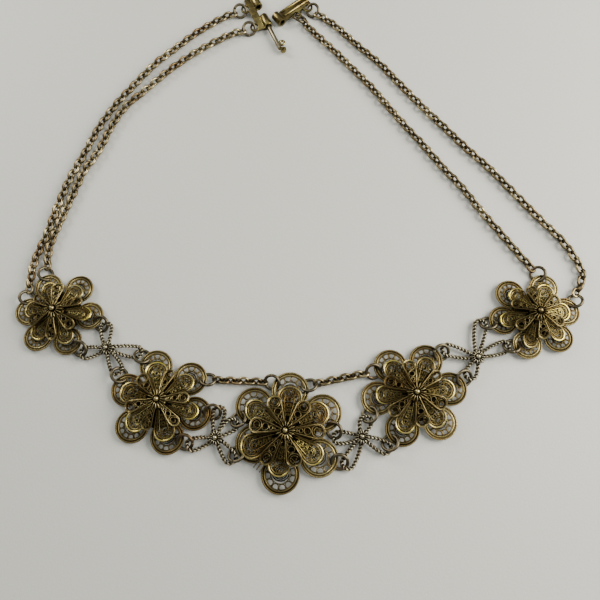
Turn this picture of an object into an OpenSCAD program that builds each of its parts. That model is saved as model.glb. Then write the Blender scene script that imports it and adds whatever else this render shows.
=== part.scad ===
// Filigree necklace, lying open: five layered flowers, four connectors,
// two short chains, four long strands of cable chain and a pin clasp.
// +Z is up from the table, and the row of flowers runs along +X.

/* [Flowers] */
// Reach of the centre flower, from its middle to a petal's tip
centre_reach = 16.6; // [16.4:0.1:16.8]
// Reach of the flowers on either side of it
side_reach = 14.9; // [14.7:0.1:15.1]
// Reach of the two end flowers
end_reach = 13.2; // [13:0.1:13.4]
// Height of the front layer of petals above the table
flower_h = 6.4; // [6.3:0.1:6.8]
// Width of the rim round a back petal
back_rim = 1; // [0.9:0.02:1.02]
// Thickness of the back layer
back_t = 0.6; // [0.5:0.02:0.62]

/* [Rings and connectors] */
// Wire of the jump rings
ring_wire = 0.56; // [0.44:0.02:0.58]
// Middle of a jump ring's wire, from the ring's centre
ring_r = 2.08; // [2.06:0.01:2.1]
// Slant of a jump ring from flat
ring_slant = 33; // [32:0.5:34]
// Twisted wire of the connector loops
loop_wire = 0.7; // [0.5:0.05:0.75]
// Middle of a connector loop's round end, from that end's centre
loop_r = 1.5; // [1.45:0.05:1.6]

/* [Chain] */
// Distance from one link to the next, at most
pitch = 2.1; // [2.06:0.01:2.1]
// Wire of a chain link
link_wire = 0.52; // [0.44:0.02:0.52]
// Middle of a link's wire, from the link's centre
link_r = 1.38; // [1.37:0.01:1.39]

/* [Clasp] */
// Outer diameter of the clasp's knuckles
knuckle_d = 3; // [2.8:0.1:3]
// Bore of the knuckles
knuckle_bore = 1.9; // [1.8:0.1:2]
// Length of each knuckle of the left half
knuckle_l = 4.6; // [4.2:0.1:5]
// Length of the right half's knuckle
middle_l = 4; // [3.8:0.1:4]
// Diameter of the sliding pin
pin_d = 1.4; // [1.2:0.1:1.5]
// Thickness of the clasp's plates
plate_t = 0.7; // [0.5:0.05:0.7]

/* [Hidden] */
$fn = 48;

// Middle of the whole necklace, in the layout's own coordinates
mid = [-5.43, 79.81];

// Middle height of the back layers, loops, jump rings and plates
layer_z = 1.4;

// Flowers: middle, reach, direction of each of the six back petals
FLOWERS = [
    [[-75.9, 46.7], end_reach, [119, 57, -4, -67, -126, 178]],
    [[-43.6, 21.6], side_reach, [103, 40, -18, -75, -137, 163]],
    [[-8.4, 14.0], centre_reach, [86, 28, -36, -96, 201, 143]],
    [[26.8, 24.9], side_reach, [69, 10, -48, -110, -173, 129]],
    [[61.8, 48.2], end_reach, [67, 8, -46, -107, -170, 135]],
];
function spot(f) = FLOWERS[f - 1][0];
function reach(f) = FLOWERS[f - 1][1];
function petals(f) = FLOWERS[f - 1][2];
function dir(a) = [cos(a), sin(a)];
function heading(v) = atan2(v[1], v[0]);

// Back petals are discs; the centre flower's lower left one is folded inwards
petal_r_share = 0.32;
petal_mid_share = 0.68;
folded = [3, 4];
folded_mid_share = 0.55;
function petal_r(f) = petal_r_share * reach(f);
function petal_out(f, p) = reach(f) * ([f, p] == folded ? folded_mid_share : petal_mid_share);
function petal_mid(f, p) = spot(f) + petal_out(f, p) * dir(petals(f)[p]);

// Back layer: gap just inside the rim, from one side of the petal round to the other
gap_w = 1.2;
gap_from = -0.25;
back_hub_share = 0.42;

// The layers are threaded on a pin with a foot, and clear each other by a hair
rivet_r = 0.6;
hair = 0.12;
collar_r = 1.5;
foot_r = 2.2;
foot_t = layer_z - back_t / 2 - hair;

// Middle layer: share of the reach to a petal's round end, its radius, and the dome it lies on
spoon_out_share = 0.57;
spoon_r_share = 0.2;
middle_top = 4;
middle_drop = 1.3;
middle_drop_share = 0.77;
middle_t = 0.45;
ribbon_w = 0.8;
ribbon_up = 0.5;
ribbon_from_share = 0.3;

// Front layer: narrow petals in the notches of the middle layer
slim_out_share = 0.5;
slim_r_share = 0.1;
slim_rim = 0.5;
front_drop = 1.9;
front_drop_share = 0.6;
front_t = 0.6;
front_hub_share = 0.17;

// Rosettes: short radial ridges with a round grain on top
ridge_w = 0.32;
ridge_t = 0.6;
grain_r = 0.85;
rosette_plate_share = 0.6;
rosette_r = 3;
rosette_ridges = 16;
connector_rosette_r = 2.4;
connector_ridges = 14;
connector_hub_r = 1.9;
connector_hub_t = 1.2;
side_wire_share = 0.9;
wire_from_share = 0.7;

// Connectors: middle, then for each loop the flower, the petal and the place on its rim
CONNECTORS = [
    [[-60.7, 36.5], [[1, 2, -32], [1, 3, -30], [2, 0, 147], [2, 5, 124]]],
    [[-27.7, 12.0], [[2, 2, 5], [2, 3, -13], [3, 5, 222], [3, 4, 212]]],
    [[12.3, 13.1], [[3, 1, -56], [3, 2, -10], [4, 4, 244], [4, 3, 228]]],
    [[44.9, 35.7], [[4, 0, 30], [4, 1, 37], [5, 4, 193], [5, 3, 188]]],
];
function centre(c) = CONNECTORS[c - 1][0];
function joins(c) = CONNECTORS[c - 1][1];

// A jump ring is hooked round a rim: its centre lies this far outside the rim's edge
rim_ring_off = 0.3;
// The connector's wire passes through the ring's far side, this far from the ring's centre
loop_in_ring = 0.75;
function on_rim(j) = petal_mid(j[0], j[1]) + (petal_r(j[0]) + rim_ring_off) * dir(j[2]);
function loop_end(j) = on_rim(j) + (loop_in_ring + loop_r) * dir(j[2]);

// Clasp halves: place and heading of each half's own X axis
LEFT = [[-18.4, 149.2], -65];
RIGHT = [[-15, 152.4], 40];
function placed(half, p) = half[0] + [p[0] * cos(half[1]) - p[1] * sin(half[1]),
    p[0] * sin(half[1]) + p[1] * cos(half[1])];
clasp_z = knuckle_d / 2;
knuckle_gap = middle_l + 0.4;
left_l = 2 * knuckle_l + knuckle_gap;
left_plate = [-3.6, -1.15];
right_plate = [1.15, 12.5];
right_fold_r = 0.45;
right_folds = [-0.35, 1.55];
// Eyelets that take the strands: middles, in each half's own coordinates
left_outer_eye = [-10, -4.3];
left_inner_eye = [-1.7, -4.3];
right_inner_eye = [5.6, -2.6];
right_outer_eye = [10.6, -2.6];
eye_r = 1.7;
eye_hole_r = 1.1;
eye_t = 0.45;
// Pin: drawn out of the lower knuckle, with a ring and an eye at its free end
pin_in = 4.3;
pin_out = 10;
pin_ring = [8.1, 1.5];
pin_ring_r = 0.8;
pin_ring_wire = 0.5;
pin_eye = [10.9, 0.8];
pin_eye_r = 1;
pin_eye_hole_r = 0.35;
pin_eye_t = 0.8;

// Strands: name, flower petal and place on its rim, way its ring points, the half and the
// eyelet or the petal at its other end, way of that ring, tilt of the first link, and the
// points that the chain passes on the way
STRANDS = [
    ["left_outer", [1, 5, 108], 108, [LEFT, left_outer_eye], 203, -1,
        [[-86, 62.5], [-83.5, 72], [-81.5, 81.5], [-79, 91], [-75.5, 100], [-72, 109.5],
         [-67.5, 118], [-62, 126], [-56, 134], [-49, 141], [-42, 147.5], [-34, 153.2]]],
    ["left_inner", [1, 0, 110], 110, [LEFT, left_inner_eye], 200, -1,
        [[-82, 67.5], [-80, 76], [-77.5, 84.5], [-75, 93], [-71, 101], [-68, 109.5],
         [-64, 117.5], [-58, 124], [-52, 130.5], [-45.5, 136.5], [-38, 142], [-31, 146.2]]],
    ["right_inner", [5, 0, 106], 106, [RIGHT, right_inner_eye], -49, 1,
        [[60, 66], [54.5, 73.5], [49, 81], [44, 88.5], [38, 96], [32.5, 103.5], [27, 110.5],
         [21.5, 118], [16, 125.5], [10, 132.5], [4, 139.5], [-2.5, 146.5]]],
    ["right_outer", [5, 1, 46], 48, [RIGHT, right_outer_eye], -38, 1,
        [[77, 61.5], [73, 70.5], [66, 79], [59.5, 87], [53, 95], [46, 102.5], [39, 110.5],
         [32, 118.5], [25.5, 126.5], [19, 134.5], [11.5, 142], [4.5, 149.5]]],
    ["short_left", [2, 1, -2], -2, [3, 0, 156], 158, 1, []],
    ["short_right", [3, 0, 17], 16, [4, 5, 199], 199, 1, []],
];
first_link = 2.68;
link_z = link_wire / 2 + link_r * sin(45);
function ring_start(s) = on_rim(s[1]);
function ring_end(s) = len(s[3]) == 3 ? on_rim(s[3])
    : placed(s[3][0], s[3][1]) + ring_r * dir(s[4]);

// The chain's way: from the first link's middle past the points to the last link's middle
function way(s) = let (a = ring_start(s), b = ring_end(s), n = len(s[6]),
    p = n > 0 ? s[6][0] : b, q = n > 0 ? s[6][n - 1] : a)
    [a + first_link * dir(heading(p - a)), each s[6], b + first_link * dir(heading(q - b))];

// Smooth curve through the points P, with t from 0 to their count less one
function along(P, t) = let (i = min(max(floor(t), 0), len(P) - 2), u = t - i,
    a = P[max(i - 1, 0)], b = P[i], c = P[i + 1], d = P[min(i + 2, len(P) - 1)])
    0.5 * (2 * b + u * (c - a) + u * u * (2 * a - 5 * b + 4 * c - d)
    + u * u * u * (3 * b - a - 3 * c + d));

// Length run so far, paired with t, at small steps along the curve through P
fine = 0.05;
function run(P) = [for (t = 0, s = 0; t < len(P) - 1 + fine / 2;
    s = s + norm(along(P, t + fine) - along(P, t)), t = t + fine) [s, t]];
function gaps(R) = ceil(R[len(R) - 1][0] / pitch);
function last_tilt(s) = s[5] * (gaps(run(way(s))) % 2 == 0 ? 1 : -1);

// Puts a piece at a point of the layout, turned to a heading
module lay(p, a = 0) {
    translate([p[0] - mid[0], p[1] - mid[1], 0]) rotate([0, 0, a]) children();
}

module wire_ring(r, wire) {
    rotate_extrude() translate([r, 0]) circle(d = wire);
}

module jump_ring(p, a, slant) {
    color("darkkhaki") lay(p, a) translate([0, 0, layer_z]) rotate([slant, 0, 0])
        wire_ring(ring_r, ring_wire);
}

// Shell under a round dome whose top is at z, and which has dropped by drop at radius at_r
module dome_shell(z, drop, at_r, t) {
    dome_r = (at_r * at_r + drop * drop) / (2 * drop);
    translate([0, 0, z - dome_r]) difference() {
        sphere(r = dome_r, $fn = 240);
        sphere(r = dome_r - t, $fn = 240);
    }
}

module rosette(r, ridges) {
    linear_extrude(ridge_t) {
        for (i = [0 : ridges / 2 - 1]) rotate(360 * i / ridges) square([2 * r, ridge_w], center = true);
        circle(r = rosette_plate_share * r);
    }
    translate([0, 0, ridge_t + 0.4 * grain_r]) sphere(r = grain_r);
}

// Pierced gap just inside a round rim of inner radius r, open on the inner side
module rim_gap(r, w) {
    intersection() {
        difference() {
            circle(r = r);
            circle(r = r - w);
        }
        translate([gap_from * r, -r]) square([2 * r, 2 * r]);
    }
}

// Back layer: six round petals, each with a rim and a pierced gap inside it
module flower_back(f) {
    r = petal_r(f);
    color("goldenrod") lay(spot(f)) translate([0, 0, layer_z - back_t / 2]) linear_extrude(back_t)
        difference() {
            union() {
                circle(r = back_hub_share * reach(f));
                for (p = [0 : 5]) rotate(petals(f)[p]) translate([petal_out(f, p), 0]) circle(r = r);
            }
            circle(r = rivet_r + hair);
            for (p = [0 : 5]) rotate(petals(f)[p]) translate([petal_out(f, p), 0])
                rim_gap(r - back_rim, gap_w);
        }
}

// Outline of a spoon-shaped petal along +X, drawn in by inset
module spoon(out, r, inset) {
    side = 0.97 * (r - inset);
    translate([out, 0]) circle(r = r - inset);
    polygon([[inset, 0], [out, side], [out, -side]]);
}

module spoons(f, inset) {
    for (a = petals(f)) rotate(a) spoon(spoon_out_share * reach(f), spoon_r_share * reach(f), inset);
}

// Middle layer: six domed petals with a thick ribbon round each, and a collar below
module flower_middle(f) {
    R = reach(f);
    drop_r = middle_drop_share * R;
    collar_z = layer_z + back_t / 2 + hair;
    color("gold") lay(spot(f)) difference() {
        union() {
            intersection() {
                dome_shell(middle_top, middle_drop, drop_r, middle_t);
                linear_extrude(2 * middle_top) difference() {
                    spoons(f, 0);
                    for (a = petals(f)) rotate(a) translate([spoon_out_share * R, 0])
                        rim_gap(spoon_r_share * R - ribbon_w, spoon_r_share * R / 4);
                }
            }
            intersection() {
                dome_shell(middle_top + ribbon_up, middle_drop, drop_r, middle_t + ribbon_up);
                linear_extrude(2 * middle_top) difference() {
                    spoons(f, 0);
                    spoons(f, ribbon_w);
                    circle(r = ribbon_from_share * R);
                }
            }
            translate([0, 0, collar_z]) cylinder(r = collar_r, h = middle_top - middle_t / 2 - collar_z);
        }
        cylinder(r = rivet_r + hair, h = 4 * flower_h, center = true);
    }
}

// Front petals point halfway between neighbouring petals of the layers below
function between(f) = [for (p = [0 : 5]) let (a = petals(f)[p], b = petals(f)[(p + 1) % 6])
    a - (a - b + 720) % 360 / 2];

// Front layer: six slim petals, the rosette with its grain, the pin through the layers and its foot
module flower_front(f) {
    R = reach(f);
    collar_z = middle_top + hair;
    rosette_z = flower_h - front_t / 2;
    color("darkgoldenrod") lay(spot(f)) {
        intersection() {
            dome_shell(flower_h, front_drop, front_drop_share * R, front_t);
            linear_extrude(2 * flower_h) {
                difference() {
                    for (a = between(f)) rotate(a) spoon(slim_out_share * R, slim_r_share * R, 0);
                    for (a = between(f)) rotate(a) spoon(slim_out_share * R, slim_r_share * R, slim_rim);
                }
                circle(r = front_hub_share * R);
            }
        }
        translate([0, 0, rosette_z]) rosette(rosette_r, rosette_ridges);
        translate([0, 0, collar_z]) cylinder(r = collar_r, h = rosette_z - collar_z);
        translate([0, 0, foot_t / 2]) cylinder(r = rivet_r, h = rosette_z - foot_t / 2);
        cylinder(r = foot_r, h = foot_t);
    }
}

// One wire loop of a connector, from near the middle out to a round end centred at x = l;
// its straight sides are a little thinner, and reach just into the round end
module wire_loop(l) {
    lean = asin(loop_r / l);
    from = wire_from_share * connector_hub_r;
    for (side = [-1, 1]) rotate([0, 0, side * lean]) translate([from, 0, 0]) rotate([0, 90, 0])
        cylinder(d = side_wire_share * loop_wire, h = l * cos(lean) - from + hair);
    translate([l, 0, 0]) rotate([0, 0, -90 - lean]) rotate_extrude(angle = 180 + 2 * lean)
        translate([loop_r, 0]) circle(d = loop_wire);
}

module connector(c) {
    color("peru") lay(centre(c)) {
        translate([0, 0, layer_z]) for (j = joins(c)) {
            reach_to = loop_end(j) - centre(c);
            rotate([0, 0, heading(reach_to)]) wire_loop(norm(reach_to));
        }
        translate([0, 0, layer_z - connector_hub_t / 2]) cylinder(r = connector_hub_r, h = connector_hub_t);
        translate([0, 0, layer_z + connector_hub_t / 2 - ridge_t / 4]) rosette(connector_rosette_r, connector_ridges);
    }
}

// One strand: links set evenly along its way, each turned a quarter from the last
module chain(s) {
    P = way(s);
    R = run(P);
    n = gaps(R);
    color("tan") for (k = [0 : n]) {
        t = lookup(k / n * R[len(R) - 1][0], R);
        tilt = s[5] * (k % 2 == 0 ? 45 : -45);
        lay(along(P, t), heading(along(P, t + fine) - along(P, t - fine)))
            translate([0, 0, link_z]) rotate([tilt, 0, 0]) wire_ring(link_r, link_wire);
    }
}

module plate(x0, x1, y0, y1) {
    translate([x0, y0, layer_z - plate_t / 2]) cube([x1 - x0, y1 - y0, plate_t]);
}

module knuckle(l) {
    translate([0, 0, clasp_z]) rotate([0, 90, 0]) cylinder(d = knuckle_d, h = l, center = true);
}

module knuckle_bore_cut(l) {
    translate([0, 0, clasp_z]) rotate([0, 90, 0]) cylinder(d = knuckle_bore, h = l, center = true);
}

module disc_at(p, r, t) {
    translate([p[0], p[1], layer_z]) cylinder(r = r, h = t, center = true);
}

// Left half: two knuckles on one long edge of a plate, two eyelets on the other
module clasp_left() {
    color("khaki") lay(LEFT[0], LEFT[1]) difference() {
        union() {
            for (x = [-knuckle_l / 2, knuckle_l / 2 - left_l]) translate([x, 0, 0]) knuckle(knuckle_l);
            plate(-left_l, 0, left_plate[0], left_plate[1]);
            for (p = [left_outer_eye, left_inner_eye]) disc_at(p, eye_r, eye_t);
        }
        translate([-left_l / 2, 0, 0]) knuckle_bore_cut(2 * left_l);
        for (p = [left_outer_eye, left_inner_eye]) disc_at(p, eye_hole_r, 2 * plate_t);
    }
}

// Pin with a wire ring on its side and a drilled eye at its end
module clasp_pin() {
    color("silver") lay(LEFT[0], LEFT[1]) translate([0, 0, clasp_z]) difference() {
        union() {
            translate([-pin_in, 0, 0]) rotate([0, 90, 0]) cylinder(d = pin_d, h = pin_in + pin_out);
            translate(pin_ring) wire_ring(pin_ring_r, pin_ring_wire);
            translate(pin_eye) cylinder(r = pin_eye_r, h = pin_eye_t, center = true);
        }
        translate(pin_eye) cylinder(r = pin_eye_hole_r, h = 2 * pin_eye_t, center = true);
    }
}

// Right half: a knuckle across the end of a strap with two folded ridges and two eyelets
module clasp_right() {
    color("khaki") lay(RIGHT[0], RIGHT[1]) difference() {
        union() {
            rotate([0, 0, 90]) knuckle(middle_l);
            plate(right_plate[0], right_plate[1], -middle_l / 2, middle_l / 2);
            for (y = right_folds) translate([right_plate[0] + 1, y, layer_z + plate_t / 2])
                rotate([0, 90, 0]) cylinder(r = right_fold_r, h = right_plate[1] - right_plate[0] - 1);
            for (p = [right_inner_eye, right_outer_eye]) disc_at(p, eye_r, eye_t);
        }
        rotate([0, 0, 90]) knuckle_bore_cut(2 * middle_l);
        for (p = [right_inner_eye, right_outer_eye]) disc_at(p, eye_hole_r, 4 * plate_t);
    }
}

for (f = [1 : 5]) {
    flower_back(f);
    flower_middle(f);
    flower_front(f);
}
for (c = [1 : 4]) {
    connector(c);
    for (j = [1 : 4]) jump_ring(on_rim(joins(c)[j - 1]), joins(c)[j - 1][2], ring_slant);
}
for (s = STRANDS) {
    chain(s);
    jump_ring(ring_start(s), s[2], -s[5] * ring_slant);
    jump_ring(ring_end(s), s[4], last_tilt(s) * ring_slant);
}
clasp_left();
clasp_pin();
clasp_right();
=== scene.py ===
"""Filigree necklace lying open on a pale table: bent-wire flowers, twisted connectors, cable chain."""
import math
import random

import bmesh
import bpy
import numpy
from mathutils import Matrix, Vector


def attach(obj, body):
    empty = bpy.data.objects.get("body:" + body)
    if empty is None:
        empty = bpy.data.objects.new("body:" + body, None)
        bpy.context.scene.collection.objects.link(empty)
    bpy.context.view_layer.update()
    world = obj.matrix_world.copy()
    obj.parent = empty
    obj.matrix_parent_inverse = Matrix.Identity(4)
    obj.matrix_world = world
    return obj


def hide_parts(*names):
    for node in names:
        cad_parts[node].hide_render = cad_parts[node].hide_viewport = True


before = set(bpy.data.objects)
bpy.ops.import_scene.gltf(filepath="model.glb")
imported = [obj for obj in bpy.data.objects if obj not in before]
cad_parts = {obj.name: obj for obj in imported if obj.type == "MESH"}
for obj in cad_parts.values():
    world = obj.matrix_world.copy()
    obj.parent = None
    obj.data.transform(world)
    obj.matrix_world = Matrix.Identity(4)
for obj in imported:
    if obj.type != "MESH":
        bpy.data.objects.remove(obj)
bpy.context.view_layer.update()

MM = 0.001
hand = random.Random(7)

# Layout in millimetres and degrees, as in the construction: the whole necklace's middle, then
# for each flower its middle, its reach and the directions of its six petals
MID = Vector((-5.43, 79.81, 0))
FLOWERS = {
    1: ((-75.9, 46.7), 13.2, (119, 57, -4, -67, -126, 178)),
    2: ((-43.6, 21.6), 14.9, (103, 40, -18, -75, -137, 163)),
    3: ((-8.4, 14.0), 16.6, (86, 28, -36, -96, 201, 143)),
    4: ((26.8, 24.9), 14.9, (69, 10, -48, -110, -173, 129)),
    5: ((61.8, 48.2), 13.2, (67, 8, -46, -107, -170, 135)),
}

# Back petals, as shares of the reach: radius, distance from the middle, and that of the petal
# that is folded inwards, which is given by its flower and its place there
PETAL_R, PETAL_OUT, FOLDED_OUT = 0.32, 0.68, 0.55
FOLDED = (3, 4)

# Connectors: middle, then for each loop the flower, the petal and the place on its rim
CONNECTORS = {
    1: ((-60.7, 36.5), ((1, 2, -32), (1, 3, -30), (2, 0, 147), (2, 5, 124))),
    2: ((-27.7, 12.0), ((2, 2, 5), (2, 3, -13), (3, 5, 222), (3, 4, 212))),
    3: ((12.3, 13.1), ((3, 1, -56), (3, 2, -10), (4, 4, 244), (4, 3, 228))),
    4: ((44.9, 35.7), ((4, 0, 30), (4, 1, 37), (5, 4, 193), (5, 3, 188))),
}

# From a petal's rim past its jump ring to the middle of the loop's round end
RIM_TO_LOOP = 0.3 + 0.75 + 1.25

# A connector's loop: radius of its round end, its wire, the length in which that turns once, and
# how deep the groove between the wire's two strands is, where 1 is none
LOOP_R, LOOP_WIRE, LOOP_TURN, GROOVE = 1.5, 1.26, 2.0, 0.3

# How much darker the valleys of a twisted wire are made
VALLEY = 1.4

# Heights of the layers, how far the two upper domes have fallen, and at which share of the reach
LAYER_Z, MIDDLE_Z, FRONT_Z, ROSETTE_Z = 1.4, 3.75, 6.1, 6.1
MIDDLE_FALL, FRONT_FALL = 1.3, 1.9
MIDDLE_RIM, FRONT_RIM = 0.77, 0.6

# Handwork: the degrees of yaw, nod and roll by which a layer's petals may be off, the stretch that
# goes with each degree, and how much brighter to how much duller than the rest a petal may be
BACK_SWAY, MIDDLE_SWAY, FRONT_SWAY = (0, 0, 0), (4, 1.4, 9), (6, 1.8, 13)
STRETCH, DULL = 0.012, (-0.12, 0.3)

# What holds the layers: foot, pin and hubs, with the hubs' undersides; then the rosettes' grains
FOOT_R, FOOT_T, PIN_R, PIN_TOP = 2.2, 0.98, 0.6, 4.2
HUB_R, MIDDLE_HUB_Z, FRONT_HUB_Z = 1.5, 1.86, 4.14
GRAIN_R, SMALL_GRAIN_R = 0.72, 0.66

# Chain links: half the length and half the width to the wire's middle, the wire, and how far each
# leans out; the degrees that each long strand's links are turned about its way, and how many more
# or fewer a single link may be
LINK_HALF, LINK_SIDE, LINK_WIRE, LEAN = 1.34, 0.92, 0.84, 0.22
LINK_SWAY = 7
TWIST = {"left_outer": 32, "left_inner": 30, "right_inner": -30, "right_outer": -33}

# Jump rings: radius at the chains' ends and at the connectors, the wire, and the degrees that it
# is bent through
RING_R, WIDE_RING_R, RING_WIRE, RING_BEND = 2.04, 2.2, 0.92, 357

# The clasp's left half: place and heading, and the height of its pin. All of the pin that lies
# within this radius and this distance is its bare rod. Its wire ring: middle, radius and wire
CLASP_LEFT, CLASP_Z = ((-18.4, 149.2), -65), 1.5
ROD_R, ROD_END = 0.74, 10.02
PIN_RING, PIN_RING_R, PIN_RING_WIRE = (8.1, 1.5), 0.8, 0.74

# Points nearer than this are one, in a closed wire and in a copy of the construction's clasp
WELD, CLASP_WELD = 1e-4, 0.003


# Wires

def spot(x, y, z=0):
    """A place of the layout in the part's own frame, in millimetres."""
    return Vector((x, y, z)) - MID


def bend(start, heading, moves, step, turn_step=15):
    """Stations of a wire: each move is a length and the degrees that it turns on the way."""
    x, y = start
    stations = [(x, y, heading)]
    for length, turn in moves:
        n = max(math.ceil(length / step), math.ceil(abs(turn) / turn_step), 1)
        half = math.radians(turn / n / 2)
        chord = length / n * (math.sin(half) / half if half else 1)
        for _ in range(n):
            heading += turn / n / 2
            x += chord * math.cos(math.radians(heading))
            y += chord * math.sin(math.radians(heading))
            heading += turn / n / 2
            stations.append((x, y, heading))
    return stations


def wire(target, stations, wide, high, sides=6, turns=0, closed=False, tarnish_and_painted_light=0.5, swell=None,
         z=0, groove=1):
    """Tarnish, with any painted light it carries, is a number or a function of the share of the way along.
    A twisted wire's valleys are made darker, and a groove below 1 sinks them.
    more, and a groove below 1 sinks them."""
    bm = bmesh.new()
    bmesh.ops.create_circle(bm, segments=sides, radius=0.5)
    bmesh.ops.rotate(bm, verts=bm.verts, matrix=Matrix.Rotation(math.radians(90), 3, "Y"))
    bmesh.ops.scale(bm, verts=bm.verts, vec=(1, wide, high))
    for v in bm.verts:
        on_middle_line = abs(v.co.y) < 0.05 * wide
        if on_middle_line:
            v.co.z *= groove
    last = len(stations) - 1
    bmesh.ops.spin(bm, geom=bm.verts[:] + bm.edges[:], cent=(0, 0, 0), axis=(1, 0, 0), dvec=(1, 0, 0),
                   angle=math.tau * turns, steps=last, use_duplicate=False)
    shade = bm.verts.layers.float.new("tarnish_and_painted_light")
    for v in bm.verts:
        at = round(v.co.x)
        x, y, heading = stations[at]
        scale = swell(at / last) if swell else 1
        v[shade] = tarnish_and_painted_light(at / last) if callable(tarnish_and_painted_light) else tarnish_and_painted_light
        if turns:
            v[shade] += VALLEY * (1 - 2 * v.co.yz.length / wide)
        across = v.co.y * scale
        a = math.radians(heading)
        v.co = (x - across * math.sin(a), y + across * math.cos(a), v.co.z * scale + z)
    if closed:
        bmesh.ops.remove_doubles(bm, verts=bm.verts, dist=WELD)
    else:
        bmesh.ops.holes_fill(bm, edges=bm.edges, sides=0)
    bmesh.ops.recalc_face_normals(bm, faces=bm.faces)
    add(target, stock(bm))


def stock(bm):
    """Keeps a finished shape so that it can be added many times."""
    mesh = bpy.data.meshes.new("stock")
    bm.to_mesh(mesh)
    bm.free()
    return mesh


def add(target, mesh, matrix=None, dull=0):
    """Adds a kept shape to the target, moves it to its place and makes it duller or brighter."""
    before = len(target.verts)
    target.from_mesh(mesh)
    if dull:
        target.verts.ensure_lookup_table()
        shade = target.verts.layers.float["tarnish_and_painted_light"]
        for v in target.verts[before:]:
            v[shade] += dull
    target.verts.ensure_lookup_table()
    if matrix is not None:
        bmesh.ops.transform(target, matrix=matrix, verts=target.verts[before:])
    return target.verts[before:]


def ring(target, radius, wide, high, centre=(0, 0), sides=6, pitch=0, tarnish_and_painted_light=0.5, z=0):
    """A closed wire ring; with a pitch it is a rope of two strands that turn once in that length."""
    length = math.tau * radius
    turns = round(length / pitch) if pitch else 0
    step = length / turns / 6 if turns else length
    start = (centre[0], centre[1] - radius)
    wire(target, bend(start, 0, [(length, 360)], step, 12), wide, high, sides, turns, True, tarnish_and_painted_light, z=z)


def coil(target, centre, radius, heading, wide, high, curls, way_round, tarnish_and_painted_light):
    """A scroll: a wire bent round in half turns, each tighter than the last."""
    a = math.radians(heading)
    start = (centre[0] + radius * math.cos(a), centre[1] + radius * math.sin(a))
    moves = [(math.pi * radius * 0.74 ** k, 180 * way_round) for k in range(curls)]
    stations = bend(start, heading + 90 * way_round, moves, radius * 4, 24)
    wire(target, stations, wide, high, 4, tarnish_and_painted_light=tarnish_and_painted_light)


def spiral(target, centre, radius, gap, wide, high, tarnish_and_painted_light, z):
    """A flat watch-spring coil that fills a round place."""
    eye = 0.3
    radii = [radius - gap / 2 * k for k in range(int(2 * (radius - eye) / gap))]
    start = (centre[0], centre[1] - radius)
    stations = bend(start, 0, [(math.pi * r, 180) for r in radii], radius * 4, 22)
    wire(target, stations, wide, high, 4, tarnish_and_painted_light=tarnish_and_painted_light, z=z)


def teardrop(out, radius, start):
    """Start, heading and moves of a loop that leaves the middle, rounds its end and comes back."""
    lean = math.degrees(math.asin(radius / out))
    side = out * math.cos(math.radians(lean)) - start
    at = (start * math.cos(math.radians(lean)), -start * math.sin(math.radians(lean)))
    return at, -lean, [(side, 0), (radius * math.radians(180 + 2 * lean), 180 + 2 * lean), (side, 0)]


def leaf(out, radius, start, bulge):
    """A teardrop whose sides bow outwards by that many degrees at either end."""
    at, heading, ((side, _), (length, turn), _) = teardrop(out, radius, start)
    return at, heading - bulge, [(side, 2 * bulge), (length, turn - 2 * bulge), (side, 2 * bulge)]


def drop(top, fall, at, r):
    """Height of a round dome of that top, which has fallen by fall at the radius at."""
    dome = (at * at + fall * fall) / (2 * fall)
    return top - dome + math.sqrt(dome * dome - r * r)


def ball(target, radius, scale, matrix, tarnish_and_painted_light, segments, rings):
    """A ball, or a long grain where its scale stretches it."""
    bm = bmesh.new()
    bmesh.ops.create_uvsphere(bm, u_segments=segments, v_segments=rings, radius=radius)
    bmesh.ops.scale(bm, verts=bm.verts, vec=scale)
    shade = bm.verts.layers.float.new("tarnish_and_painted_light")
    for v in bm.verts:
        v[shade] = tarnish_and_painted_light
    add(target, stock(bm), matrix)


def post(target, radius, low, high, tarnish_and_painted_light, edge=0.08):
    """A turned post or disc with a broken edge, standing on the middle."""
    bm = bmesh.new()
    bmesh.ops.create_cone(bm, cap_ends=True, segments=32, radius1=radius, radius2=radius,
                          depth=high - low)
    rims = [e for e in bm.edges if abs(e.verts[0].co.z - e.verts[1].co.z) < 1e-6]
    bmesh.ops.bevel(bm, geom=rims, offset=edge, affect="EDGES", segments=2, profile=0.5, material=-1)
    shade = bm.verts.layers.float.new("tarnish_and_painted_light")
    for v in bm.verts:
        v[shade] = tarnish_and_painted_light
    add(target, stock(bm), Matrix.Translation((0, 0, (low + high) / 2)))


# Flower layers, each drawn for one petal along +X and then set round the middle

def back_petal(R):
    """Round petal: a rope and bands round its rim, a row of open arches and a coil in the middle."""
    r = PETAL_R * R
    bm = bmesh.new()
    ring(bm, r - 0.3, 0.6, 0.4, pitch=0.9, tarnish_and_painted_light=0)
    ring(bm, r - 0.66, 0.9, 0.26, sides=8, tarnish_and_painted_light=0.75, z=-0.08)
    ring(bm, r - 0.96, 0.46, 0.5, sides=8, tarnish_and_painted_light=0)
    ring(bm, r - 1.32, 0.24, 0.44, sides=6, tarnish_and_painted_light=0.4)
    deep, n, spread = 0.27 * r, 8, 250
    half = 0.49 * math.radians(spread / n) * (r - 1.4 - deep / 2)
    foot, side = r - 1.3, max(deep - half, 0.1)
    for k in range(n):
        arch = bmesh.new()
        moves = [(side, 0), (math.pi * half, -180), (side, 0)]
        wire(arch, bend((foot, -half), 180, moves, 2, 26), 0.34, 0.42, 5, tarnish_and_painted_light=0.5)
        turn = (k - (n - 1) / 2) * spread / n
        add(bm, stock(arch), Matrix.Rotation(math.radians(turn), 4, "Z"))
    ring(bm, r - 1.4 - deep, 0.3, 0.46, tarnish_and_painted_light=0.3)
    # A dense coil fills the petal's middle; it is darkened as painted shade under the middle layer's petals
    spiral(bm, (-0.12 * r, 0), 0.44 * r, 0.5, 0.34, 0.36, 0.75, -0.04)
    return bm


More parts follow.
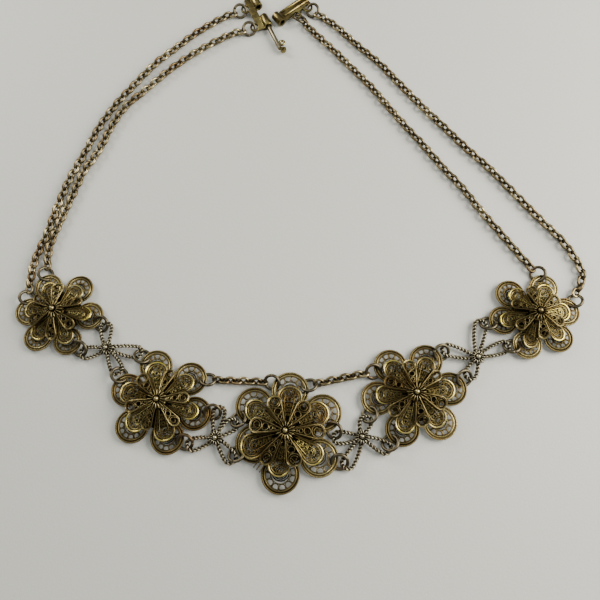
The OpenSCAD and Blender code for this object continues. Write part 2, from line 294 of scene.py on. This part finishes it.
def middle_petal(R):
    """Cupped petal: a wide ribbon round it, a teardrop inside and scrolls up its length."""
    out, r = 0.57 * R, 0.2 * R
    bm = bmesh.new()

    def at_end(t):
        return max(0, 1 - (abs(2 * t - 1) / 0.5) ** 4)

    # Painted highlight: the ribbon and the teardrop inside it are brighter and gilt round the petal's outer
    # end, where they face the light
    start, heading, moves = teardrop(out, r - 0.35, 0.14 * R)
    wire(bm, bend(start, heading, moves, 0.8), 0.6, 0.5, 8, z=0.24,
         tarnish_and_painted_light=lambda t: 0.6 - 0.95 * at_end(t), swell=lambda t: 0.45 + 0.55 * at_end(t))
    start, heading, moves = teardrop(out - 0.05, r - 0.94, 0.2 * R)
    wire(bm, bend(start, heading, moves, 0.8), 0.44, 0.34, 6, z=0.05,
         tarnish_and_painted_light=lambda t: 0.7 - 0.5 * at_end(t))
    start, heading, moves = teardrop(0.53 * R, 0.08 * R, 0.16 * R)
    wire(bm, bend(start, heading, moves, 1), 0.24, 0.44, 6, tarnish_and_painted_light=0, z=0.04)
    for share, size in ((0.535, 0.062), (0.43, 0.048), (0.345, 0.036), (0.275, 0.027)):
        for side in (1, -1):
            coil(bm, (share * R, 0), size * R, 90 * side, 0.22, 0.36, 3, side, 0)
    for k in range(7):
        a = -105 + 35 * k
        place = (out + 0.112 * R * math.cos(math.radians(a)), 0.112 * R * math.sin(math.radians(a)))
        coil(bm, place, 0.034 * R, a, 0.22, 0.3, 3, 1 if k % 2 else -1, 0.3)
    for share, half in ((0.47, 0.115), (0.4, 0.095), (0.33, 0.075), (0.27, 0.055)):
        for side in (1, -1):
            coil(bm, (share * R, side * half * R), 0.026 * R, 0, 0.24, 0.3, 2, side, 0.5)
    cup = 0.35
    for v in bm.verts:
        from_line = Vector((max(v.co.x - out, 0), v.co.y)).length
        edge = min(1, from_line / r)
        v.co.z -= cup * (1 - edge * edge) * min(1, v.co.x / (0.4 * R))
    return bm


def front_petal(R):
    """Slim petal: a rib standing on edge round a row of rings that shrink inwards."""
    out, r = 0.5 * R, 0.122 * R
    bm = bmesh.new()
    rib, smallest = 0.36, 0.26
    # Painted highlight: the rib is brighter and gilt round the petal's tip, and darker towards the middle
    start, heading, moves = teardrop(out, r - rib / 2, 0.08 * R)
    wire(bm, bend(start, heading, moves, 0.9), rib, 0.7, 6,
         tarnish_and_painted_light=lambda t: 0.45 * abs(2 * t - 1) ** 2 - 0.1)
    slope, at = r / out, out
    size = slope * at - rib
    while size > smallest:
        # Painted shade: under each bright ring lies a smaller, lower copy in near black, for the shade in
        # the ring's depth
        ring(bm, size - 0.13, 0.22, 0.46, (at, 0), tarnish_and_painted_light=0.1, z=-0.05)
        ring(bm, size - 0.3, 0.34, 0.3, (at, 0), tarnish_and_painted_light=1.2, z=-0.34)
        at = (at - size + rib) / (1 + slope)
        size = slope * at - rib
    coil(bm, (out, 0), 0.5 * r, 90, 0.22, 0.34, 2, 1, 0.2)
    return bm


def set_round(petal, angles, out, shape, sway):
    """Sets a kept petal at each angle, with the little lean and twist that handwork leaves."""
    bm = bmesh.new()
    mesh = stock(petal)
    for p, angle in enumerate(angles):
        yaw, nod, roll = (hand.uniform(-1, 1) * s for s in sway)
        longer, wider = 1 + STRETCH * yaw, 1 + STRETCH * roll
        turn = Matrix.Rotation(math.radians(angle + yaw), 4, "Z")
        dip = Matrix.Rotation(math.radians(nod), 4, "Y")
        lean = Matrix.Rotation(math.radians(roll), 4, "X")
        stretch = Matrix.Diagonal((longer, wider, 1, 1))
        place = turn @ dip @ Matrix.Translation((out(p), 0, 0)) @ lean @ stretch
        add(bm, mesh, place, hand.uniform(*DULL))
    for v in bm.verts:
        v.co.z += shape(v.co.xy.length)
    return bm


def bent_wires(target, R, toward):
    """Three loose ends of wire that stick out beside the folded petal."""
    for k in range(3):
        start = (0.5 * R, 0.045 * R * (k - 1))
        loose = bmesh.new()
        wire(loose, bend(start, 8 * (k - 1), [(0.27 * R, 12 - 9 * k)], 0.6), 0.58, 0.52, 5, tarnish_and_painted_light=0.5,
             swell=lambda t: 1 - 0.5 * t, z=LAYER_Z + 0.5)
        add(target, stock(loose), Matrix.Rotation(math.radians(toward), 4, "Z"))


def rosette(target, radius, ridges, z, tarnish_and_painted_light, grain):
    """Short bright ridges set apart round a grain, on a dished plate painted near black as shade between
    them.
    """
    post(target, 0.6 * radius, z - 0.2, z + 0.15, 1.3)
    for k in range(ridges):
        turn = Matrix.Rotation(math.tau * k / ridges, 4, "Z")
        lean = Matrix.Rotation(math.radians(8), 4, "Y")
        place = turn @ Matrix.Translation((0.62 * radius, 0, z + 0.42)) @ lean
        ball(target, 0.5, (0.68 * radius, 1.8 * radius / ridges, 0.6), place, tarnish_and_painted_light, 8, 6)
    ball(target, grain, (1, 1, 1), Matrix.Translation((0, 0, z + 0.6 + 0.4 * grain)), 0, 20, 12)


# Finishes

class Num:
    """A number's socket that takes part in Python expressions."""

    def __init__(self, finish, socket):
        self.finish, self.socket = finish, socket

    def maths(self, operation, a, b):
        node = self.finish.node("ShaderNodeMath", {"operation": operation}, {0: a, 1: b})
        return Num(self.finish, node.outputs[0])

    def __add__(self, other):
        return self.maths("ADD", self, other)

    def __sub__(self, other):
        return self.maths("SUBTRACT", self, other)

    def __rsub__(self, other):
        return self.maths("SUBTRACT", other, self)

    def __mul__(self, other):
        return self.maths("MULTIPLY", self, other)

    __radd__, __rmul__ = __add__, __mul__

    def clip(self):
        """The number held between 0 and 1."""
        return Num(self.finish, self.finish.node("ShaderNodeClamp", {}, {"Value": self}).outputs[0])


class Finish:
    """A material under making."""

    def __init__(self, name):
        self.material = bpy.data.materials.new(name)
        self.material.use_nodes = True
        self.tree = self.material.node_tree
        self.tree.nodes.clear()
        self.place = self.node("ShaderNodeTexCoord").outputs["Object"]

    def node(self, kind, settings=None, inputs=None):
        """A node of that type, with its settings and with the values or links of its sockets."""
        node = self.tree.nodes.new(kind)
        for key, value in (settings or {}).items():
            setattr(node, key, value)
        for key, value in (inputs or {}).items():
            value = value.socket if isinstance(value, Num) else value
            if isinstance(value, bpy.types.NodeSocket):
                self.tree.links.new(value, node.inputs[key])
            else:
                node.inputs[key].default_value = value
        return node

    def noise(self, scale, detail, roughness):
        """Blotches that are finer the larger the scale is."""
        node = self.node("ShaderNodeTexNoise", {}, {"Vector": self.place, "Scale": scale,
                                                    "Detail": detail, "Roughness": roughness})
        return Num(self, node.outputs[0])

    def band(self, value, low, high):
        """0 below low, 1 above high and smooth between."""
        node = self.node("ShaderNodeMapRange", {"interpolation_type": "SMOOTHSTEP"},
                         {"Value": value, "From Min": low, "From Max": high})
        return Num(self, node.outputs[0])

    def mix(self, share, a, b):
        """Colour a with that share of colour b in it."""
        node = self.node("ShaderNodeMix", {"data_type": "RGBA"}, {0: share, 6: a, 7: b})
        return node.outputs[2]

    def close(self, **shader):
        """Ends the material with a shader that has these sockets set."""
        sockets = {name.replace("_", " "): value for name, value in shader.items()}
        surface = self.node("ShaderNodeBsdfPrincipled", {}, sockets)
        self.node("ShaderNodeOutputMaterial", {}, {"Surface": surface.outputs[0]})
        return self.material


# Gilding that is left on the edges, which also paints the highlights on rims that face the light; near
# black for soot in the crevices and for the painted shade there; and how worn metal's colour turns redder
GILDING_AND_HIGHLIGHT = (0.60, 0.48, 0.08, 1)
SOOT_AND_SHADE = (0.007, 0.005, 0.002, 1)
RUDDY = (1.04, 0.84, 0.7)


def worn_metal(name, bright, worn, crevice_shade_reach, age, rough, marked=False):
    """Gold-washed metal: bright where rubbed, browner where worn, near black in its crevices, partly as
    soot and partly as painted shade from an occlusion node. A marked piece has an attribute of tarnish and
    painted light, where 0 is clean, 1 is black and below 0 is gilt; its dark values also stand for painted
    shade and its gilt values for painted highlights."""
    f = Finish(name)
    # Painted shade: an occlusion node blackens hollows and the gaps between layers, over the soot that real
    # filigree holds there
    hollow = f.node("ShaderNodeAmbientOcclusion", {"samples": 6}, {"Distance": crevice_shade_reach})
    open_sky = Num(f, hollow.outputs["AO"])
    blotch = f.noise(260, 5, 0.62)
    fine = f.noise(2600, 3, 0.7)
    hidden = 1 - f.band(open_sky, 0.15, 0.95)
    wear_and_painted_light = blotch * 0.9 + fine * 0.35
    soot_and_shade = hidden * 1.05 + f.band(blotch * fine, 0.3, 0.5) * 0.3
    if marked:
        mark = f.node("ShaderNodeAttribute", {"attribute_name": "tarnish_and_painted_light"})
        laid = Num(f, mark.outputs["Fac"])
        wear_and_painted_light = wear_and_painted_light + laid * 0.6
        soot_and_shade = soot_and_shade + f.band(laid, 0.45, 1.05) * (0.5 + blotch * 0.6)
        # Painted highlight: below 0 the attribute turns the colour gilt and brighter, both as gilding left
        # on rubbed edges and as highlight on rims that face the light
        gilt_and_highlight = f.band(laid, 0.1, -0.4) * f.band(f.noise(230, 2, 0.5), 0.42, 0.56)
        soot_and_shade = soot_and_shade - gilt_and_highlight * 0.4
        wear_and_painted_light = wear_and_painted_light - gilt_and_highlight * 0.25
        bright = f.mix(gilt_and_highlight, (*bright, 1), GILDING_AND_HIGHLIGHT)
    else:
        bright = (*bright, 1)
    wear_and_painted_light = f.band(wear_and_painted_light, 0.5 - age * 0.4, 1.05 - age * 0.4)
    soot_and_shade = soot_and_shade.clip()
    redder = tuple(c * k for c, k in zip(worn, RUDDY))
    worn = f.mix(f.band(f.noise(120, 2, 0.5), 0.5, 0.75), (*worn, 1), (*redder, 1))
    colour = f.mix(soot_and_shade, f.mix(wear_and_painted_light, bright, worn), SOOT_AND_SHADE)
    bump = f.node("ShaderNodeBump", {}, {"Strength": 0.35, "Distance": 0.00004,
                                         "Height": fine * 0.6 + blotch})
    return f.close(Base_Color=colour, Metallic=1.0, Normal=bump.outputs[0],
                   Roughness=(rough + wear_and_painted_light * 0.16 + soot_and_shade * 0.3).clip())


# Each finish: bright colour, worn colour, reach of the painted shade in its crevices, age and roughness
FILIGREE = worn_metal("petal_filigree", (0.62, 0.51, 0.23), (0.15, 0.112, 0.042), 0.0026, 0.55, 0.2,
                      marked=True)
RIBBON = worn_metal("petal_ribbon", (0.62, 0.505, 0.19), (0.15, 0.11, 0.036), 0.002, 0.52, 0.2,
                    marked=True)
TWISTED = worn_metal("twisted_wire", (0.62, 0.57, 0.4), (0.16, 0.135, 0.08), 0.0014, 0.5, 0.2,
                     marked=True)
CHAIN = worn_metal("chain_wire", (0.64, 0.53, 0.29), (0.18, 0.14, 0.07), 0.0013, 0.52, 0.22,
                   marked=True)
RINGS = worn_metal("ring_wire", (0.4, 0.35, 0.22), (0.12, 0.1, 0.06), 0.0014, 0.55, 0.22,
                   marked=True)
GILT = worn_metal("clasp_gilt", (0.62, 0.51, 0.17), (0.12, 0.09, 0.034), 0.0028, 0.68, 0.13)
STEEL = worn_metal("pin_metal", (0.44, 0.39, 0.26), (0.15, 0.12, 0.07), 0.0014, 0.55, 0.22)


def piece(name, bm, material, slot, body, *nodes, at=(0, 0, 0)):
    """Ends a piece: its place goes into its mesh, and it stands for the CAD nodes."""
    bmesh.ops.transform(bm, matrix=Matrix.Scale(MM, 4) @ Matrix.Translation(at), verts=bm.verts)
    for face in bm.faces:
        face.smooth = True
    mesh = bpy.data.meshes.new(name)
    bm.to_mesh(mesh)
    bm.free()
    mesh.materials.append(material)
    obj = bpy.data.objects.new(name, mesh)
    bpy.context.scene.collection.objects.link(obj)
    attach(obj, body)
    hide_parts(*nodes)
    return obj


def petal_out(f, p):
    """How far out a back petal's middle lies."""
    return FLOWERS[f][1] * (FOLDED_OUT if (f, p) == FOLDED else PETAL_OUT)


def flower(f):
    """The three layers of one flower."""
    (x, y), R, angles = FLOWERS[f]
    at = spot(x, y)
    between = [a - (a - angles[(p + 1) % 6] + 720) % 360 / 2 for p, a in enumerate(angles)]

    back = set_round(back_petal(R), angles, lambda p: petal_out(f, p), lambda r: LAYER_Z, BACK_SWAY)
    if f == FOLDED[0]:
        p = FOLDED[1]
        bent_wires(back, R, (angles[p - 1] + angles[p] - 360) / 2 % 360)
    # Painted shade: a dark spiral and a near-black disc fill the middle under the upper layers, where their
    # shade falls
    spiral(back, (0, 0), 0.45 * R, 0.62, 0.5, 0.4, 0.9, LAYER_Z)
    post(back, 0.5 * R, LAYER_Z - 0.1, LAYER_Z + 0.06, 1.3, 0.03)
    piece(f"petals_back_{f}", back, FILIGREE, "petal_filigree", "root", f"flower_{f}_back", at=at)

    middle = set_round(middle_petal(R), angles, lambda p: 0,
                       lambda r: drop(MIDDLE_Z, MIDDLE_FALL, MIDDLE_RIM * R, r), MIDDLE_SWAY)
    ring(middle, 1.4, 1.6, 0.4, sides=8, tarnish_and_painted_light=0.6, z=MIDDLE_Z)
    post(middle, HUB_R, MIDDLE_HUB_Z, MIDDLE_Z, 0.8)
    piece(f"petals_cupped_{f}", middle, RIBBON, "petal_ribbon", "root", f"flower_{f}_middle", at=at)

    front = set_round(front_petal(R), between, lambda p: 0,
                      lambda r: drop(FRONT_Z, FRONT_FALL, FRONT_RIM * R, r), FRONT_SWAY)
    rosette(front, 3, 16, ROSETTE_Z, 0.1, GRAIN_R)
    post(front, HUB_R, FRONT_HUB_Z, ROSETTE_Z, 0.8)
    post(front, PIN_R, FOOT_T / 2, PIN_TOP, 0.8)
    post(front, FOOT_R, 0, FOOT_T, 0.4)
    piece(f"leaves_and_rosette_{f}", front, FILIGREE, "petal_filigree", "root", f"flower_{f}_front", at=at)


def connector(c):
    """Four loops of twisted wire under a small rosette."""
    middle, joins = CONNECTORS[c]
    bm = bmesh.new()
    for f, p, a in joins:
        (x, y), R, angles = FLOWERS[f]
        t = math.radians(angles[p])
        reach = PETAL_R * R + RIM_TO_LOOP
        end = Vector((x + petal_out(f, p) * math.cos(t) + reach * math.cos(math.radians(a)) - middle[0],
                      y + petal_out(f, p) * math.sin(t) + reach * math.sin(math.radians(a)) - middle[1]))
        start, heading, moves = leaf(end.length, LOOP_R, 1.0, 9)
        loop = bmesh.new()
        turns = round(sum(length for length, _ in moves) / LOOP_TURN)
        wire(loop, bend(start, heading, moves, 0.2), LOOP_WIRE, 0.86, 12, turns=turns, tarnish_and_painted_light=0,
             groove=GROOVE)
        turn = Matrix.Rotation(math.atan2(end.y, end.x), 4, "Z")
        add(bm, stock(loop), Matrix.Translation((0, 0, LAYER_Z)) @ turn)
    post(bm, 1.85, LAYER_Z - 0.6, LAYER_Z + 0.55, 0.7, 0.25)
    rosette(bm, 2.4, 14, LAYER_Z + 0.45, 0.0, SMALL_GRAIN_R)
    piece(f"twisted_connector_{c}", bm, TWISTED, "twisted_wire", "root", f"connector_{c}", at=spot(*middle))


# Rings, chain and clasp, which lie where the construction has them

def points_of(obj):
    """The places of a mesh's points, in millimetres."""
    flat = numpy.empty(3 * len(obj.data.vertices), dtype=numpy.float32)
    obj.data.vertices.foreach_get("co", flat)
    return flat.reshape(-1, 3) / MM


def lie_of(points):
    """Middle of a flat ring and the normal of its plane."""
    middle = (points.min(0) + points.max(0)) / 2
    return Vector(middle), Vector(numpy.linalg.svd(points - middle, full_matrices=False)[2][2])


def loose_rings(node):
    """Middle and normal of each of a strand's links."""
    copy = node.copy()
    copy.data = node.data.copy()
    bpy.context.scene.collection.objects.link(copy)
    bpy.ops.object.select_all(action="DESELECT")
    copy.select_set(True)
    bpy.context.view_layer.objects.active = copy
    bpy.ops.mesh.separate(type="LOOSE")
    lies = []
    for part in bpy.context.selected_objects[:]:
        lies.append(lie_of(points_of(part)))
        bpy.data.objects.remove(part)
    return lies


def rest_on_table(verts):
    """Lifts a link or ring whose heavier wire would reach below the table."""
    lowest = min(v.co.z for v in verts)
    for v in verts:
        v.co.z -= min(lowest, 0)


def oval_link(tarnish_and_painted_light):
    """A soldered link of round wire, longer than wide."""
    bm = bmesh.new()
    straight, round_end = 2 * (LINK_HALF - LINK_SIDE), math.pi * LINK_SIDE
    stations = bend((-straight / 2, -LINK_SIDE), 0, [(straight, 0), (round_end, 180)] * 2, straight, 36)
    wire(bm, stations, LINK_WIRE, LINK_WIRE, closed=True, tarnish_and_painted_light=tarnish_and_painted_light)
    return stock(bm)


def chain(name):
    """A strand of oval links, each of which leans out to the side on which it stands up."""
    links = loose_rings(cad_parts[name])
    middles = [middle for middle, _ in links]
    turned = TWIST.get(name.removeprefix("chain_"), 0)
    bm = bmesh.new()
    for middle, normal in links:
        a, b = sorted(middles, key=lambda m: (m - middle).length)[1:3]
        # An end link has both of its near links on one side, the second twice as far off
        inside = (b - middle).length < 1.5 * (a - middle).length
        way = b - a if inside else a - middle
        way *= 1 if way.y > 0 else -1
        side = normal.cross(way).normalized()
        side *= 1 if side.z > 0 else -1
        middle = middle + LEAN * Vector((side.x, side.y, 0))
        turn = Matrix((side.cross(normal), side, normal)).transposed().to_4x4()
        twist = Matrix.Rotation(math.radians(turned + hand.uniform(-LINK_SWAY, LINK_SWAY)), 4, way)
        rest_on_table(add(bm, hand.choice(LINKS), Matrix.Translation(middle) @ twist @ turn))
    piece(name.replace("chain", "links"), bm, CHAIN, "chain_wire", "root", name)


def jump_ring(name):
    """A bent ring of heavier wire; its two ends meet at a fine slit."""
    middle, normal = lie_of(points_of(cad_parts[name]))
    bm = bmesh.new()
    radius = WIDE_RING_R if name.startswith("connector") else RING_R
    length = math.radians(RING_BEND) * radius
    wire(bm, bend((0, -radius), 0, [(length, RING_BEND)], length, 10), RING_WIRE, RING_WIRE, 8,
         tarnish_and_painted_light=0.4)
    side = normal.cross(Vector((0, 0, 1))).normalized()
    turn = Matrix((side.cross(normal), side, normal)).transposed().to_4x4()
    spin = Matrix.Rotation(hand.uniform(0, math.tau), 4, "Z")
    bmesh.ops.transform(bm, matrix=Matrix.Translation(middle) @ turn @ spin, verts=bm.verts)
    rest_on_table(bm.verts)
    piece("jump_" + name, bm, RINGS, "ring_wire", "root", name)


def clasp_part(name, material, slot, body, tip_material=None):
    """A part of the clasp with its edges broken. Given a tip material it is the pin, which gets its
    wire ring here, and the tip material on all that is beside or beyond its rod."""
    bm = bmesh.new()
    bm.from_mesh(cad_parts[name].data)
    bmesh.ops.scale(bm, verts=bm.verts, vec=(1 / MM,) * 3)
    bmesh.ops.remove_doubles(bm, verts=bm.verts, dist=CLASP_WELD)
    if tip_material:
        (x, y), heading = CLASP_LEFT
        way = Vector((math.cos(math.radians(heading)), math.sin(math.radians(heading)), 0))
        loop = bmesh.new()
        ring(loop, PIN_RING_R, PIN_RING_WIRE, PIN_RING_WIRE, PIN_RING, 16)
        place = Matrix.Translation(spot(x, y, CLASP_Z)) @ Matrix.Rotation(math.radians(heading), 4, "Z")
        bmesh.ops.transform(loop, matrix=place, verts=loop.verts)
        add(bm, stock(loop))
        for face in bm.faces:
            from_end = face.calc_center_median() - spot(x, y, CLASP_Z)
            out = from_end.dot(way)
            face.material_index = int((from_end - out * way).length > ROD_R or out > ROD_END)
    obj = piece(name.replace("clasp", "worn_clasp"), bm, material, slot, body, name)
    if tip_material:
        obj.data.materials.append(tip_material)
    edge = obj.modifiers.new("broken edges", "BEVEL")
    edge.width, edge.segments, edge.harden_normals = 0.1 * MM, 2, True
    edge.limit_method, edge.angle_limit = "ANGLE", math.radians(35)


# Links from clean to dull, of which each strand takes its own mixture
LINKS = [oval_link(tarnish_and_painted_light) for tarnish_and_painted_light in (0, 0.15, 0.35, 0.55)]

for f in FLOWERS:
    flower(f)
for c in CONNECTORS:
    connector(c)
for name in sorted(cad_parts):
    if name.startswith("chain_"):
        chain(name)
    elif "ring_" in name:
        jump_ring(name)
clasp_part("clasp_left", GILT, "clasp_gilt", "root")
clasp_part("clasp_right", GILT, "clasp_gilt", "root")
clasp_part("clasp_pin", STEEL, "pin_metal", "pin", GILT)


# Table, light and camera

def table():
    """A pale painted table top."""
    bm = bmesh.new()
    bmesh.ops.create_grid(bm, x_segments=1, y_segments=1, size=0.6)
    mesh = bpy.data.meshes.new("table")
    bm.to_mesh(mesh)
    bm.free()
    f = Finish("table_paint")
    blotch = f.noise(9, 4, 0.5)
    grain = f.noise(1400, 3, 0.6)
    cloud = (blotch * 0.8 + grain * 0.2).clip()
    colour = f.mix(cloud, (0.554, 0.555, 0.489, 1), (0.604, 0.605, 0.539, 1))
    bump = f.node("ShaderNodeBump", {}, {"Strength": 0.25, "Distance": 0.0002, "Height": grain})
    mesh.materials.append(f.close(Base_Color=colour, Roughness=0.6, Normal=bump.outputs[0]))
    floor = bpy.data.objects.new("table", mesh)
    bpy.context.scene.collection.objects.link(floor)


def softbox(name, place, size, power, colour):
    """A round soft light that faces the middle of the necklace."""
    light = bpy.data.lights.new(name, "AREA")
    light.shape, light.size, light.energy, light.color = "DISK", size, power, colour
    lamp = bpy.data.objects.new(name, light)
    lamp.location = place
    lamp.rotation_euler = (-Vector(place)).to_track_quat("-Z", "Y").to_euler()
    bpy.context.scene.collection.objects.link(lamp)


def sky():
    """A room that is bright overhead and dim towards its walls."""
    world = bpy.data.worlds.new("room")
    world.use_nodes = True
    nodes, links = world.node_tree.nodes, world.node_tree.links
    way = nodes.new("ShaderNodeSeparateXYZ")
    links.new(nodes.new("ShaderNodeTexCoord").outputs["Generated"], way.inputs[0])
    ramp = nodes.new("ShaderNodeMapRange")
    ramp.interpolation_type = "SMOOTHSTEP"
    ramp.inputs["From Min"].default_value, ramp.inputs["From Max"].default_value = 0.35, 0.95
    ramp.inputs["To Min"].default_value, ramp.inputs["To Max"].default_value = 0.1, 0.8
    links.new(way.outputs["Z"], ramp.inputs["Value"])
    ground = nodes["Background"]
    ground.inputs["Color"].default_value = (0.95, 0.97, 1.0, 1)
    links.new(ramp.outputs[0], ground.inputs["Strength"])
    bpy.context.scene.world = world


def camera():
    """The camera of the photograph, pitched 17.3 degrees from straight down."""
    height = 168.8
    swing, pitch, roll = (math.radians(degrees) for degrees in (6, 17.3, 4.9))
    turned = Matrix.Rotation(swing, 3, "Z")
    level = turned @ Vector((1, 0, 0))
    up = turned @ Vector((0, math.cos(pitch), math.sin(pitch)))
    back = turned @ Vector((0, -math.sin(pitch), math.cos(pitch)))
    right = level * math.cos(roll) - up * math.sin(roll)
    top = level * math.sin(roll) + up * math.cos(roll)
    data = bpy.data.cameras.new("camera")
    data.sensor_width, data.lens, data.clip_start = 36, 36, 0.01
    eye = bpy.data.objects.new("camera", data)
    aim = Matrix((right, top, back)).transposed().to_4x4()
    eye.matrix_world = Matrix.Translation(spot(0, 0, height) * MM) @ aim
    bpy.context.scene.collection.objects.link(eye)
    bpy.context.scene.camera = eye


table()
sky()
softbox("window", (0.34, 0.04, 0.24), 0.34, 3.6, (1, 0.97, 0.915))
softbox("lamp", (-0.3, 0.22, 0.22), 0.2, 1.1, (1, 0.98, 0.94))
camera()
